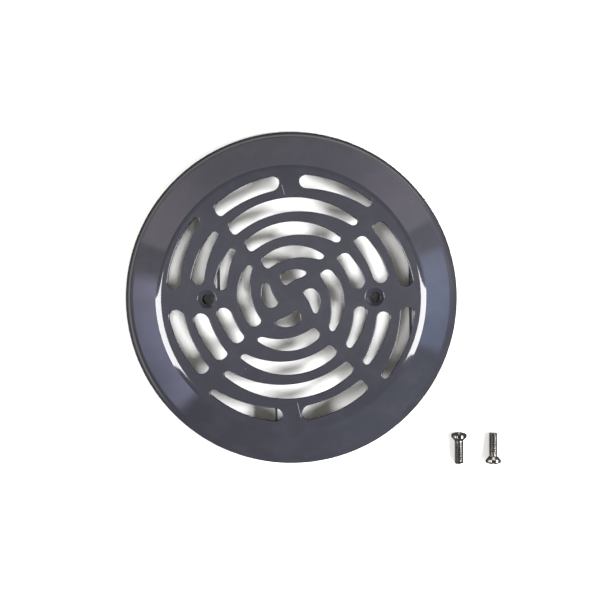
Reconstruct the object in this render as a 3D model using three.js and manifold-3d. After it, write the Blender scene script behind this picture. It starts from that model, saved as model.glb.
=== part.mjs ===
// A round floor drain grate with its two loose fixing screws.
//
// The cover is one plastic moulding: a flat plate pierced by five rings of swirling
// slots, a shoulder, a flange that slopes down to a rolled rim, and an underside with a
// locating skirt, two screw bosses and three stiffening ribs. The screws lie loose on
// the surface beside it.
//
// Millimetres, +Z up. The origin is the centre of the plate's flat top face, the screw
// holes lie on the X axis, and the rim stands on z = -coverHeight.

import * as THREE from 'three';
import { mergeVertices } from 'three/addons/utils/BufferGeometryUtils.js';
import Module from 'manifold-3d';

const wasm = await Module();
wasm.setup();

// ---- driving dimensions ----

// Cover
const rimDiameter = 203.2;      // across the rim
const coverHeight = 18;         // from the rim's seat to the plate's top face
const flangeWidth = 23.4;       // from the plate's edge out to the rim
const plateThickness = 4;
const flangeWall = 3;           // wall of the sloping flange and of the rim
const shoulderRadius = 8;       // rounding between the plate and the flange
const rimRadius = 7;            // rounding between the flange and the rim's outer side
const rimLip = 2;               // straight part of the rim's outer side

// Slots: each ring repeats its sector four times round the plate
const sectorCount = 4;
const slotMargin = 2.2;         // from the outermost slots to the plate's edge
const firstRingRadius = 9.8;    // inner edge of the innermost ring, at its middle
const rings = [                 // width at the middle, ends in degrees from the sector's middle
  { width: 7.6, from: -33, to: 28 },
  { width: 7.9, from: -39.6, to: 39 },
  { width: 8.3, from: -41.3, to: 40.4 },
  { width: 8.7, from: -42.3, to: 41.3 },
  { width: 8.6, from: -41.5, to: 40.4 },
];
const innerSwirl = { bow: 1.94, lean: -3.6 };      // shape of a slot's inner edge
const outerSwirl = { bow: -0.73, lean: -1.82 };    // shape of a slot's outer edge
const spokeCorners = { inner: 2.4, outer: 4 };     // radii where a slot's wide end meets a spoke
const outerBridge = 11.6;       // bridge that splits each sector of the outermost ring
const bossBridge = 3.6;         // solid plate left between a countersink and a slot's end

// Underside
const skirtClearance = 1;       // from the outermost slots to the skirt
const skirtWall = 2;
const skirtGap = 2;             // between the skirt's end and the rim's seat
const ribWall = 1.2;
const ribDrop = 7;              // of the ribs, below the plate
const sideRibInset = 4.4;       // of the rib across the skirt, beyond the right boss
const bossRibReach = 27;        // towards +Y, of the rib that touches the left boss
const edgeRibOffset = 9.8;      // of the short rib at the skirt, from the Y axis
const edgeRibReach = 16;        // of that rib, in from the skirt

// Fixing screws: number 12, 24 threads to the inch, three quarters of an inch, oval head
const threadDiameter = 5.49;
const threadPitch = 25.4 / 24;
const threadDepth = 0.58;
const screwLength = 18.2;       // from the head's rim to the tip
const headDiameter = 9.5;
const headLand = 1.4;           // straight edge of the head
const headDome = 1.3;           // height of the head's oval top
const headAngle = 82;           // included angle of the head's cone, degrees
const tipChamfer = 0.4;
const recessSpan = 5.2;         // across the cross recess, at the head's rim
const recessFloor = 1.9;        // across the recess, at the bottom
const recessWidth = 1.15;
const recessDepth = 2.6;        // below the head's rim

// Screw holes and bosses
const screwInset = 1.5;         // from the fourth ring's inner edge in to a screw's axis
const screwClearance = 0.5;     // of the hole over the thread
const sinkClearance = 1.9;      // of the countersink over the head
const bossWall = 4.4;           // around the screw hole
const bossGap = 2;              // between a boss's end and the rim's seat

// Where the screws lie: from the rim to the head's middle, bearing from +X, and turn
const looseScrews = [
  { name: 'screw_1', gap: 30.92, bearing: -39.84, turn: 0 },
  { name: 'screw_2', gap: 58.08, bearing: -39.86, turn: 178.8 },
];

// Fineness
const coverSegments = 96;
const bossSegments = 24;
const screwSegments = 16;
const slotStep = 7;             // longest step along a slot's edge
const samePoint = 0.02;         // outline points closer than this are one
const overlap = 0.5;            // how far joined solids reach into each other

// ---- sizes that follow ----

const degrees = THREE.MathUtils.degToRad;
const rimOuterRadius = rimDiameter / 2;
const plateRadius = rimOuterRadius - flangeWidth;
const slotFieldRadius = plateRadius - slotMargin;
const outerRise = outerSwirl.bow - outerSwirl.lean;
const ringPitch = (slotFieldRadius - outerRise - rings.at(-1).width - firstRingRadius)
  / (rings.length - 1);
const ringRadius = (ring) => firstRingRadius + ringPitch * ring;
const skirtInside = slotFieldRadius + skirtClearance;
const screwRadius = ringRadius(3) - screwInset;
const holeRadius = (threadDiameter + screwClearance) / 2;
const sinkRadius = (headDiameter + sinkClearance) / 2;
const bossRadius = holeRadius + bossWall;
const bossHeight = coverHeight - bossGap;

// ---- helpers ----

/** A three.js geometry as a manifold solid. */
function toSolid(geometry) {
  geometry.deleteAttribute('normal');
  geometry.deleteAttribute('uv');
  const merged = mergeVertices(geometry, 1e-4);
  return new wasm.Manifold(new wasm.Mesh({
    numProp: 3,
    vertProperties: new Float32Array(merged.attributes.position.array),
    triVerts: new Uint32Array(merged.index.array),
  }));
}

/** A manifold solid as a named mesh. */
function toMesh(solid, name, material) {
  const { vertProperties, triVerts } = solid.getMesh();
  const geometry = new THREE.BufferGeometry();
  geometry.setAttribute('position', new THREE.BufferAttribute(new Float32Array(vertProperties), 3));
  geometry.setIndex(new THREE.BufferAttribute(new Uint32Array(triVerts), 1));
  geometry.computeVertexNormals();
  const mesh = new THREE.Mesh(geometry, material);
  mesh.name = name;
  return mesh;
}

/** A profile of [radius, z] points, rising on its outer side, turned about Z. */
function turned(profile, segments) {
  const points = profile.map(([radius, z]) => new THREE.Vector2(radius, z));
  return toSolid(new THREE.LatheGeometry(points, segments).rotateX(Math.PI / 2));
}

/** An outline in XY, raised from one z to another. */
function raised(outline, bottom, top) {
  const depth = top - bottom;
  const geometry = new THREE.ExtrudeGeometry(new THREE.Shape(outline), { depth, bevelEnabled: false });
  return toSolid(geometry.translate(0, 0, bottom));
}

/** A box between two corners. */
function block(low, high) {
  const size = high.map((value, i) => value - low[i]);
  const middle = high.map((value, i) => (value + low[i]) / 2);
  return toSolid(new THREE.BoxGeometry(...size).translate(...middle));
}

/** Points on an arc, from one angle to another in radians, as [radius, z] pairs. */
function arc([centreRadius, centreZ], radius, from, to, steps) {
  return Array.from({ length: steps + 1 }, (_, i) => {
    const angle = from + (to - from) * i / steps;
    return [centreRadius + radius * Math.cos(angle), centreZ + radius * Math.sin(angle)];
  });
}

// ---- cover ----

/** The moulded shell: plate, shoulder, flange and rim. */
function shell() {
  const shoulder = [plateRadius, -shoulderRadius];
  const rim = [rimOuterRadius - rimRadius, rimLip - coverHeight];
  const across = rim[0] - shoulder[0];
  const down = rim[1] - shoulder[1];

  // The flange is the straight line that touches both roundings.
  const slope = Math.asin((shoulderRadius - rimRadius) / Math.hypot(across, down))
    - Math.atan2(down, across);
  const facing = Math.PI / 2 - slope;

  // Inside, its parallel runs from the rim's inner rounding up to the plate's underside.
  const innerRim = rimRadius - flangeWall;
  const innerRimArc = arc(rim, innerRim, facing, 0, 3);
  const [footRadius, footZ] = innerRimArc[0];
  const innerCorner = footRadius - (-plateThickness - footZ) / Math.tan(slope);

  return turned([
    [0, -plateThickness],
    [innerCorner, -plateThickness],
    ...innerRimArc,
    [rimOuterRadius - flangeWall, -coverHeight],
    [rimOuterRadius, -coverHeight],
    ...arc(rim, rimRadius, 0, facing, 5),
    ...arc(shoulder, shoulderRadius, facing, Math.PI / 2, 4),
    [0, 0],
  ], coverSegments);
}

/** The radii of a slot's inner and outer edge, at an angle from the sector's middle. */
function slotEdges(ring, angle) {
  const { width, from, to } = rings[ring];
  const s = (2 * angle - from - to) / (to - from);
  const swirl = ({ bow, lean }) => bow * s * s + lean * s;
  return {
    inner: ringRadius(ring) + swirl(innerSwirl),
    outer: ringRadius(ring) + width + swirl(outerSwirl),
  };
}

/** Half the width of a slot, at an angle: the radius of a full round end. */
function roundEnd(ring, angle) {
  const { inner, outer } = slotEdges(ring, angle);
  return (outer - inner) / 2;
}

/** How far a rounded corner draws a slot's edge in, at a distance from the slot's end. */
function cornerPull(distance, radius) {
  const reach = Math.max(radius - distance, 0);
  return radius - Math.sqrt(radius ** 2 - reach ** 2);
}

/** Distances along one edge of a slot, closer together in the rounded corners. */
function edgeSteps(length, startCorner, endCorner) {
  const corner = [0, 1, 2].map((i) => 1 - Math.cos(i * Math.PI / 6));
  const straight = length - startCorner - endCorner;
  const count = Math.max(Math.ceil(straight / slotStep), 1);
  return [
    ...corner.map((share) => startCorner * share),
    ...Array.from({ length: count + 1 }, (_, i) => startCorner + straight * i / count),
    ...corner.map((share) => length - endCorner * share).reverse(),
  ];
}

/** The outline of a slot of one ring, between two angles from the sector's middle. */
function slotOutline(ring, from, to) {
  const start = roundEnd(ring, from);
  const full = roundEnd(ring, to);
  const ends = to === rings[ring].to ? spokeCorners : { inner: full, outer: full };
  const side = (edge, inward) => {
    const length = degrees(to - from) * slotEdges(ring, (from + to) / 2)[edge];
    return edgeSteps(length, start, ends[edge]).map((distance) => {
      const angle = from + (to - from) * distance / length;
      const pull = cornerPull(distance, start) + cornerPull(length - distance, ends[edge]);
      const radius = slotEdges(ring, angle)[edge] + inward * pull;
      return new THREE.Vector2(radius * Math.cos(degrees(angle)), radius * Math.sin(degrees(angle)));
    });
  };
  const outline = [...side('outer', -1), ...side('inner', 1).reverse()];
  return outline.filter((point, i) => point.distanceTo(outline.at(i - 1)) > samePoint);
}

/** The angle either side of a screw boss at which a ring's slots end, or 0 if they clear it. */
function bossBridgeAngle(ring) {
  const end = roundEnd(ring, 0);
  const middle = slotEdges(ring, 0).inner + end;
  const apart = sinkRadius + bossBridge + end;
  const cosine = (middle ** 2 + screwRadius ** 2 - apart ** 2) / (2 * middle * screwRadius);
  const bearing = Math.acos(Math.min(cosine, 1)) - end / middle;
  return Math.max(THREE.MathUtils.radToDeg(bearing), 0);
}

/** The angles between which each slot of a ring runs, in one sector. */
function slotSpans(ring, sector) {
  const { from, to } = rings[ring];
  const outermost = ring === rings.length - 1;
  const besideBoss = sector % 2 === 0;
  const split = outermost
    ? THREE.MathUtils.radToDeg(outerBridge / 2 / slotEdges(ring, 0).inner)
    : besideBoss && bossBridgeAngle(ring);
  return split ? [[from, -split], [split, to]] : [[from, to]];
}

/** All the slots, as solids that pass through the plate. */
function slots() {
  const cutters = [];
  for (let sector = 0; sector < sectorCount; sector += 1) {
    for (let ring = 0; ring < rings.length; ring += 1) {
      for (const [from, to] of slotSpans(ring, sector)) {
        const cutter = raised(slotOutline(ring, from, to), -plateThickness - overlap, overlap);
        cutters.push(cutter.rotate([0, 0, sector * 360 / sectorCount]));
      }
    }
  }
  return cutters;
}

/** The skirt that locates the cover in its frame, reaching up into the plate. */
function skirt() {
  const outside = skirtInside + skirtWall;
  const low = skirtGap - coverHeight;
  const high = overlap - plateThickness;
  return turned([
    [skirtInside, low], [outside, low], [outside, high], [skirtInside, high], [skirtInside, low],
  ], coverSegments);
}

/** The three straight ribs, each along Y, ending inside what they meet. */
function ribs() {
  const meet = skirtInside + skirtWall / 2;
  const chord = (x) => Math.sqrt(meet ** 2 - x ** 2);
  const sideX = skirtInside - sideRibInset;
  const bossX = bossRadius - ribWall / 2 - screwRadius;
  const rib = (x, from, to) => block(
    [x - ribWall / 2, from, -plateThickness - ribDrop],
    [x + ribWall / 2, to, overlap - plateThickness],
  );
  return [
    rib(sideX, -chord(sideX), chord(sideX)),
    rib(bossX, -overlap, bossRibReach),
    rib(-edgeRibOffset, -chord(edgeRibOffset), edgeRibReach - skirtInside),
  ];
}

/** A boss under the plate, on its own axis. */
function boss() {
  const top = overlap - plateThickness;
  return turned([[0, -bossHeight], [bossRadius, -bossHeight], [bossRadius, top], [0, top]],
    bossSegments);
}

/** The countersunk hole through a boss, on its own axis. */
function screwHole() {
  const sinkDepth = (sinkRadius - holeRadius) / Math.tan(degrees(headAngle / 2));
  return turned([
    [0, -bossHeight - overlap], [holeRadius, -bossHeight - overlap], [holeRadius, -sinkDepth],
    [sinkRadius, 0], [sinkRadius, overlap], [0, overlap],
  ], bossSegments);
}

/** The whole moulding. */
function cover() {
  let solid = slots().reduce((left, cutter) => left.subtract(cutter), shell());
  for (const feature of [skirt(), ...ribs()]) solid = solid.add(feature);
  for (const x of [-screwRadius, screwRadius]) {
    solid = solid.add(boss().translate([x, 0, 0])).subtract(screwHole().translate([x, 0, 0]));
  }
  return solid;
}

// ---- fixing screw, on its own axis: the head's rim at z = 0, the tip below ----

/** A threaded rod from the tip up past a height: one helical ridge, a fan at each end. */
function threadedRod(top) {
  const crest = threadDiameter / 2;
  const root = crest - threadDepth;
  const turns = Math.ceil((top + screwLength) / threadPitch) + 2;
  const vertices = [];
  for (let step = 0; step <= turns * screwSegments; step += 1) {
    const angle = 2 * Math.PI * step / screwSegments;
    const z = threadPitch * (step / screwSegments - 1) - screwLength;
    vertices.push(crest * Math.cos(angle), crest * Math.sin(angle), z);
    vertices.push(root * Math.cos(angle), root * Math.sin(angle), z + threadPitch / 2);
  }
  const crestAt = (step) => 2 * step;
  const rootAt = (step) => 2 * step + 1;
  const faces = [];
  const quad = (a, b, c, d) => faces.push(a, b, c, a, c, d);
  const last = (turns - 1) * screwSegments;
  for (let step = 0; step < last; step += 1) {
    const above = step + screwSegments;
    quad(crestAt(step), crestAt(step + 1), rootAt(step + 1), rootAt(step));
    quad(rootAt(step), rootAt(step + 1), crestAt(above + 1), crestAt(above));
  }

  // Each end is a fan to the axis over one turn, and the step where the helix closes.
  const foot = vertices.length / 3;
  const head = foot + 1;
  vertices.push(0, 0, -screwLength - threadPitch / 2);
  vertices.push(0, 0, threadPitch * (turns - 1.5) - screwLength);
  for (let step = 0; step < screwSegments; step += 1) {
    faces.push(foot, crestAt(step + 1), crestAt(step));
    faces.push(head, crestAt(last + step), crestAt(last + step + 1));
  }
  faces.push(foot, crestAt(0), rootAt(0), foot, rootAt(0), crestAt(screwSegments));
  faces.push(head, crestAt(last + screwSegments), rootAt(last), head, rootAt(last), crestAt(last));

  const geometry = new THREE.BufferGeometry();
  geometry.setAttribute('position', new THREE.Float32BufferAttribute(vertices, 3));
  geometry.setIndex(faces);
  return toSolid(geometry);
}

/** The screw's outside without its thread: shank, chamfered tip, cone, land and oval top. */
function screwEnvelope() {
  const shank = threadDiameter / 2;
  const head = headDiameter / 2;
  const coneZ = -headLand - (head - shank) / Math.tan(degrees(headAngle / 2));
  const domeRadius = (head ** 2 + headDome ** 2) / (2 * headDome);
  const domeStart = Math.acos(head / domeRadius);
  return turned([
    [0, -screwLength], [shank - tipChamfer, -screwLength], [shank, tipChamfer - screwLength],
    [shank, coneZ], [head, -headLand],
    ...arc([0, headDome - domeRadius], domeRadius, domeStart, Math.PI / 2, 3),
  ], screwSegments);
}

/** The cross recess: two tapered slots at right angles. */
function crossRecess() {
  const top = headDome + overlap;
  const flare = (recessSpan - recessFloor) / 2 / recessDepth;
  const topHalf = recessSpan / 2 + flare * top;
  const wing = new THREE.Shape([
    new THREE.Vector2(-recessFloor / 2, -recessDepth), new THREE.Vector2(recessFloor / 2, -recessDepth),
    new THREE.Vector2(topHalf, top), new THREE.Vector2(-topHalf, top),
  ]);
  const slot = toSolid(new THREE.ExtrudeGeometry(wing, { depth: recessWidth, bevelEnabled: false })
    .translate(0, 0, -recessWidth / 2).rotateX(Math.PI / 2));
  return slot.add(slot.rotate([0, 0, 90]));
}

/** One screw. The thread runs up into the cone, where the head's solid takes over. */
function screw() {
  const shank = threadDiameter / 2;
  const coneZ = -headLand - (headDiameter / 2 - shank) / Math.tan(degrees(headAngle / 2));
  const envelope = screwEnvelope();
  const threaded = threadedRod(coneZ).intersect(envelope);
  const aboveCone = block([-headDiameter, -headDiameter, coneZ], [headDiameter, headDiameter, headDiameter]);
  return envelope.intersect(aboveCone).add(threaded).subtract(crossRecess());
}

// ---- assembly ----

const coverPlastic = new THREE.MeshStandardMaterial({ color: 0x44454f, roughness: 0.25, metalness: 0 });
const stainlessSteel = new THREE.MeshStandardMaterial({ color: 0xb8b6b2, roughness: 0.2, metalness: 1 });

/** A screw lying on its head's rim and the end of its thread, on the surface by the cover. */
function looseScrew({ name, gap, bearing, turn }) {
  const fromHead = screwLength - tipChamfer - headLand;
  const tilt = Math.atan2((headDiameter - threadDiameter) / 2, fromHead);
  const axisHeight = (headDiameter / 2) * Math.cos(tilt) + headLand * Math.sin(tilt);
  const lying = new THREE.Group();
  lying.rotation.x = tilt - Math.PI / 2;
  lying.add(toMesh(screw(), name, stainlessSteel));
  const place = new THREE.Group();
  const distance = rimOuterRadius + gap;
  place.position.set(
    distance * Math.cos(degrees(bearing)),
    distance * Math.sin(degrees(bearing)),
    axisHeight - coverHeight,
  );
  place.rotation.z = degrees(turn);
  place.add(lying);
  return place;
}

const group = new THREE.Group();
group.add(toMesh(cover(), 'grate_cover', coverPlastic));
for (const loose of looseScrews) group.add(looseScrew(loose));

export default group;
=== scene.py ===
"""A round floor drain grate and its two loose fixing screws, in glossy black plastic and
polished stainless steel.

The cover is a plate pierced by rings of swirling slots, with a sloping flange, a rolled
rim and an underside of skirt, ribs and screw bosses. Metres, +Z up. The origin is the
middle of the plate's flat top face.
"""
from math import acos, asin, atan2, ceil, cos, degrees, hypot, pi, radians, sin, sqrt, tan

import bmesh
import bpy
from mathutils import Matrix, Vector


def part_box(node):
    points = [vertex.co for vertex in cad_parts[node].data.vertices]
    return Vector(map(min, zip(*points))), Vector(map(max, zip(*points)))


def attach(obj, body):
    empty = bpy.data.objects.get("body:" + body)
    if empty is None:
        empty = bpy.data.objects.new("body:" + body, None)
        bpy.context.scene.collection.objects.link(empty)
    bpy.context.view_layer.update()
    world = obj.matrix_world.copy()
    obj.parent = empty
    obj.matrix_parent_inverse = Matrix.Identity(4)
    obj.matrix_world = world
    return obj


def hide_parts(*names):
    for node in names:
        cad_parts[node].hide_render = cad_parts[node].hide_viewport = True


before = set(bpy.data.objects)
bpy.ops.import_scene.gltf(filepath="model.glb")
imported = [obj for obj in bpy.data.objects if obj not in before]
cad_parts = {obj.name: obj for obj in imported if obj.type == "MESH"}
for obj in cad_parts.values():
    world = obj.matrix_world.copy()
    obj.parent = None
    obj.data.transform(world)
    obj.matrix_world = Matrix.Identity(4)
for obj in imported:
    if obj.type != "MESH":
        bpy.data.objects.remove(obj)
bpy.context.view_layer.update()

MM = 0.001

# ---- sizes of the cover, beside those that the frame gives ----

cover_low, cover_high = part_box("grate_cover")
RIM_OUTER = cover_high.x
COVER_HEIGHT = cover_high.z - cover_low.z
FLOOR_Z = cover_low.z
FLANGE_WIDTH = 23.4 * MM
PLATE_THICKNESS = 4 * MM
FLANGE_WALL = 3 * MM
SHOULDER_RADIUS = 8 * MM
RIM_ROLL = 20 * MM              # where the flange starts to turn down to the rim
RIM_RADIUS = 4 * MM             # and the rest of the way to its outer side
RIM_TURN = radians(45)          # how far the flange's slope has turned between the two
RIM_LIP = 3 * MM
RIM_FOOT_ROUND = 0.5 * MM

SECTORS = 4
SLOT_MARGIN = 2.2 * MM
FIRST_RING = 9.8 * MM
RINGS = [                       # width at the middle, ends in degrees from the sector's middle
    (7.6 * MM, -33, 28),
    (7.9 * MM, -39.6, 39),
    (8.3 * MM, -41.3, 40.4),
    (8.7 * MM, -42.3, 41.3),
    (8.6 * MM, -41.5, 40.4),
]
INNER_SWIRL = (1.94 * MM, -3.6 * MM)     # bow and lean of a slot's inner edge
OUTER_SWIRL = (-0.73 * MM, -1.82 * MM)   # and of its outer edge
SPOKE_CORNERS = (2.4 * MM, 4 * MM)       # inner and outer corner where a slot meets a spoke
OUTER_BRIDGE = 11.6 * MM
BOSS_BRIDGE = 3.6 * MM
SLOT_EDGE_ROUND = 0.35 * MM

SKIRT_CLEARANCE = 1 * MM
SKIRT_WALL = 2 * MM
SKIRT_GAP = 2 * MM
RIB_WALL = 1.2 * MM
RIB_DROP = 7 * MM
SIDE_RIB_INSET = 4.4 * MM
BOSS_RIB_REACH = 27 * MM
EDGE_RIB_OFFSET = 9.8 * MM
EDGE_RIB_REACH = 16 * MM

# ---- sizes of the screws ----

THREAD_DIAMETER = 5.49 * MM
THREAD_PITCH = 25.4 / 24 * MM
THREAD_DEPTH = 0.58 * MM
SCREW_LENGTH = 18.2 * MM
HEAD_DIAMETER = 9.5 * MM
HEAD_LAND = 1.4 * MM
HEAD_DOME = 1.3 * MM
HEAD_ANGLE = radians(82)
TIP_CHAMFER = 0.4 * MM
RECESS_SPAN = 5.2 * MM
RECESS_FLOOR = 1.9 * MM
RECESS_WIDTH = 1.15 * MM
RECESS_DEPTH = 2.6 * MM

SCREW_INSET = 1.5 * MM
SCREW_CLEARANCE = 0.5 * MM
SINK_CLEARANCE = 1.9 * MM
BOSS_WALL = 4.4 * MM
BOSS_GAP = 2 * MM

# Each loose screw: its node, its body and how far it is turned on the floor.
LOOSE_SCREWS = [
    ("screw_1", "first_screw", radians(0)),
    ("screw_2", "second_screw", radians(178.8)),
]

# ---- fineness ----

COVER_SEGMENTS = 288
SCREW_SEGMENTS = 64
BOSS_SEGMENTS = 64
SLOT_STEP = 1.6 * MM
CORNER_STEPS = 8
OVERLAP = 0.5 * MM
SAME_POINT = 0.01 * MM

# Each knit line: its bearing in degrees, the radius of its middle, its length and its lean.
KNIT_LINES = [
    (93.2, 65.6 * MM, 6.2 * MM, 0.21),
    (-86.4, 67.8 * MM, 9.4 * MM, 0.16),
]

# ---- colours ----

PLASTIC_DARK = (44, 44, 51)
PLASTIC_LIGHT = (48, 48, 55)
STEEL_BRIGHT = (0.45, 0.43, 0.4)
# Painted shade for the thread's grooves, and the colour of the stain spots.
STEEL_STAIN_AND_SHADE = (0.05, 0.046, 0.04)

# ---- sizes that follow ----

PLATE_RADIUS = RIM_OUTER - FLANGE_WIDTH
SLOT_FIELD = PLATE_RADIUS - SLOT_MARGIN
RING_PITCH = (
    SLOT_FIELD - (OUTER_SWIRL[0] - OUTER_SWIRL[1]) - RINGS[-1][0] - FIRST_RING
) / (len(RINGS) - 1)
SKIRT_INSIDE = SLOT_FIELD + SKIRT_CLEARANCE
SCREW_RADIUS = FIRST_RING + 3 * RING_PITCH - SCREW_INSET
HOLE_RADIUS = (THREAD_DIAMETER + SCREW_CLEARANCE) / 2
SINK_RADIUS = (HEAD_DIAMETER + SINK_CLEARANCE) / 2
BOSS_RADIUS = HOLE_RADIUS + BOSS_WALL
BOSS_HEIGHT = COVER_HEIGHT - BOSS_GAP


# ---- node trees ----

def add(tree, kind, inputs=None, **settings):
    """A node in a tree. Each input is given a value, or another node's output to join."""
    node = tree.nodes.new(kind)
    for name, value in settings.items():
        setattr(node, name, value)
    for key, value in (inputs or {}).items():
        if isinstance(value, bpy.types.NodeSocket):
            tree.links.new(value, node.inputs[key])
        else:
            node.inputs[key].default_value = value
    return node


def calc(tree, operation, *values, clamp=False):
    """The output of a Math node."""
    kind = "ShaderNodeMath"
    return add(tree, kind, dict(enumerate(values)), operation=operation, use_clamp=clamp).outputs[0]


def vector(tree, operation, *values):
    """The output of a Vector Math node that gives a vector."""
    node = add(tree, "ShaderNodeVectorMath", operation=operation)
    for socket, value in zip(node.inputs, values):
        if isinstance(value, bpy.types.NodeSocket):
            tree.links.new(value, socket)
        else:
            socket.default_value = value
    return node.outputs[0]


def scaled(tree, direction, factor):
    """A vector times a number."""
    inputs = {"Vector": direction, "Scale": factor}
    return add(tree, "ShaderNodeVectorMath", inputs, operation="SCALE").outputs[0]


def smooth_step(tree, value, low, high, from_value=0.0, to_value=1.0):
    """A value mapped smoothly from one span to another."""
    inputs = {0: value, 1: low, 2: high, 3: from_value, 4: to_value}
    return add(tree, "ShaderNodeMapRange", inputs, interpolation_type="SMOOTHSTEP").outputs[0]


def group(name, kind, inputs, outputs):
    """A node group with named inputs and outputs, its input sockets and its output node."""
    tree = bpy.data.node_groups.new(name, kind)
    for label, (socket_type, value) in inputs.items():
        socket = tree.interface.new_socket(label, in_out="INPUT", socket_type=socket_type)
        if value is not None:
            socket.default_value = value
    for label, socket_type in outputs.items():
        tree.interface.new_socket(label, in_out="OUTPUT", socket_type=socket_type)
    return tree, tree.nodes.new("NodeGroupInput").outputs, tree.nodes.new("NodeGroupOutput")


def finish_tree(tree, geometry, given, result):
    """Ends a geometry tree: instances made real, the material set."""
    real = add(tree, "GeometryNodeRealizeInstances", {"Geometry": geometry}).outputs[0]
    inputs = {"Geometry": real, "Material": given["Material"]}
    painted = add(tree, "GeometryNodeSetMaterial", inputs).outputs[0]
    tree.links.new(painted, result.inputs["Geometry"])
    return tree


def captured(tree, geometry, value):
    """Geometry that remembers a vector field, and the field as remembered."""
    node = tree.nodes.new("GeometryNodeCaptureAttribute")
    node.capture_items.new("VECTOR", "Value")
    tree.links.new(geometry, node.inputs[0])
    tree.links.new(value, node.inputs[1])
    return node.outputs[0], node.outputs[1]


def position(tree):
    return tree.nodes.new("GeometryNodeInputPosition").outputs[0]


def moved(tree, geometry, place):
    inputs = {"Geometry": geometry, "Position": place}
    return add(tree, "GeometryNodeSetPosition", inputs).outputs[0]


def split(tree, value):
    """The X, Y and Z of a vector."""
    return add(tree, "ShaderNodeSeparateXYZ", {0: value}).outputs


def combine(tree, x, y, z):
    return add(tree, "ShaderNodeCombineXYZ", {0: x, 1: y, 2: z}).outputs[0]


def welded(tree, geometry):
    """Geometry with points closer than a hundredth of a millimetre made one."""
    inputs = {"Geometry": geometry, "Distance": SAME_POINT / 4}
    return add(tree, "GeometryNodeMergeByDistance", inputs).outputs[0]


def joined(tree, *geometries):
    node = tree.nodes.new("GeometryNodeJoinGeometry")
    for geometry in reversed(geometries):
        tree.links.new(geometry, node.inputs[0])
    return node.outputs[0]


GEOMETRY = ("NodeSocketGeometry", None)
MATERIAL = ("NodeSocketMaterial", None)
VECTOR = ("NodeSocketVector", None)


def number(value):
    """A number socket of a node group, and what it is set to."""
    return "NodeSocketFloat", value


def turned_tree():
    """Turns a section, drawn as edges in the XZ plane, about the Z axis.

    With a thread pitch, points below the thread's top are drawn in to a helical groove.
    """
    tree, given, result = group("Turned shape", "GeometryNodeTree", {
        "Geometry": GEOMETRY,
        "Segments": ("NodeSocketInt", 64),
        "Thread Radius": number(0.0),
        "Thread Pitch": number(0.0),
        "Thread Depth": number(0.0),
        "Thread Top": number(0.0),
        "Material": MATERIAL,
    }, {"Geometry": "NodeSocketGeometry"})
    wire = add(tree, "GeometryNodeMeshToCurve", {"Mesh": given["Geometry"]}).outputs[0]
    section, point = captured(tree, wire, position(tree))
    ring = add(tree, "GeometryNodeCurvePrimitiveCircle",
               {"Resolution": given["Segments"], "Radius": 1.0}).outputs[0]
    circle, bearing = captured(tree, ring, position(tree))
    swept = add(tree, "GeometryNodeCurveToMesh", {"Curve": circle, "Profile Curve": section})
    radius, _, height = split(tree, point)
    along_x, along_y, _ = split(tree, bearing)

    # The thread's flank runs from its crest to its root and back in each pitch.
    turn = calc(tree, "DIVIDE", calc(tree, "ARCTAN2", along_y, along_x), 2 * pi)
    pitches = calc(tree, "DIVIDE", height, calc(tree, "MAXIMUM", given["Thread Pitch"], 1e-6))
    phase = calc(tree, "FRACT", calc(tree, "SUBTRACT", pitches, turn))
    ridge = calc(tree, "ABSOLUTE", calc(tree, "MULTIPLY_ADD", phase, 2.0, -1.0))
    groove = smooth_step(tree, ridge, 0.12, 0.86)
    depth = calc(tree, "MULTIPLY", groove, given["Thread Depth"])
    cut = calc(tree, "MINIMUM", radius, calc(tree, "SUBTRACT", given["Thread Radius"], depth))
    above = calc(tree, "LESS_THAN", given["Thread Top"], height)
    plain = calc(tree, "MAXIMUM", above, calc(tree, "LESS_THAN", given["Thread Pitch"], 1e-6))
    reach = add(tree, "ShaderNodeMix", {"Factor": plain, "A": cut, "B": radius}).outputs[0]
    place = combine(tree, calc(tree, "MULTIPLY", along_x, reach),
                    calc(tree, "MULTIPLY", along_y, reach), height)
    body = welded(tree, moved(tree, swept.outputs[0], place))
    return finish_tree(tree, body, given, result)


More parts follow.
